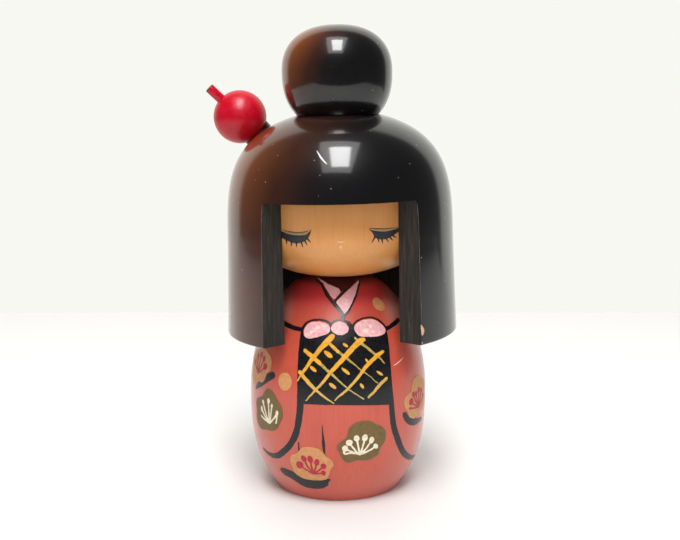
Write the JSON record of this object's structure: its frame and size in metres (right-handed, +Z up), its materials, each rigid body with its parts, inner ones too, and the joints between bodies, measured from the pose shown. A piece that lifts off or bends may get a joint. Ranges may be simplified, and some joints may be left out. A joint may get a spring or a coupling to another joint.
{
  "type": "kokeshi doll",
  "caption": "Turned-wood kokeshi doll: painted barrel body, turning head with a bare-wood face in a glossy black bobbed hair cap, topknot and pull-out ball hairpin.",
  "frame": {"origin": "centre of the flat foot, on the surface the doll stands on", "axes": "+Z up along the turning axis; the face looks towards -Y; +X is to the right seen from the front"},
  "size_m": [0.0648, 0.0581, 0.1188],
  "materials": {
    "painted_body": "red stain and paint under clear varnish",
    "face_wood": "bare turned wood, waxed",
    "hair_lacquer": "gloss black lacquer",
    "bare_wood": "bare sawn and turned wood",
    "red_paint": "satin red paint"
  },
  "bodies": {
    "body": {"body": "painted_body", "neck_dowel": "bare_wood"},
    "head": {"head_core": "face_wood", "hair_cap": "hair_lacquer", "hair_bun": "hair_lacquer", "bun_dowel": "bare_wood"},
    "hairpin": {"hairpin_stick": "red_paint", "hairpin_bead": "red_paint"}
  },
  "joints": [
    {"name": "head_turn", "type": "hinge", "parent": "body", "child": "head", "pos_m": [0, 0, 0.0558], "axis": [0, 0, 1], "continuous": true},
    {"name": "hairpin_pull", "type": "slide", "parent": "head", "child": "hairpin", "axis": [-0.7041, -0.1887, 0.6845], "range_m": [0, 0.008]}
  ]
}
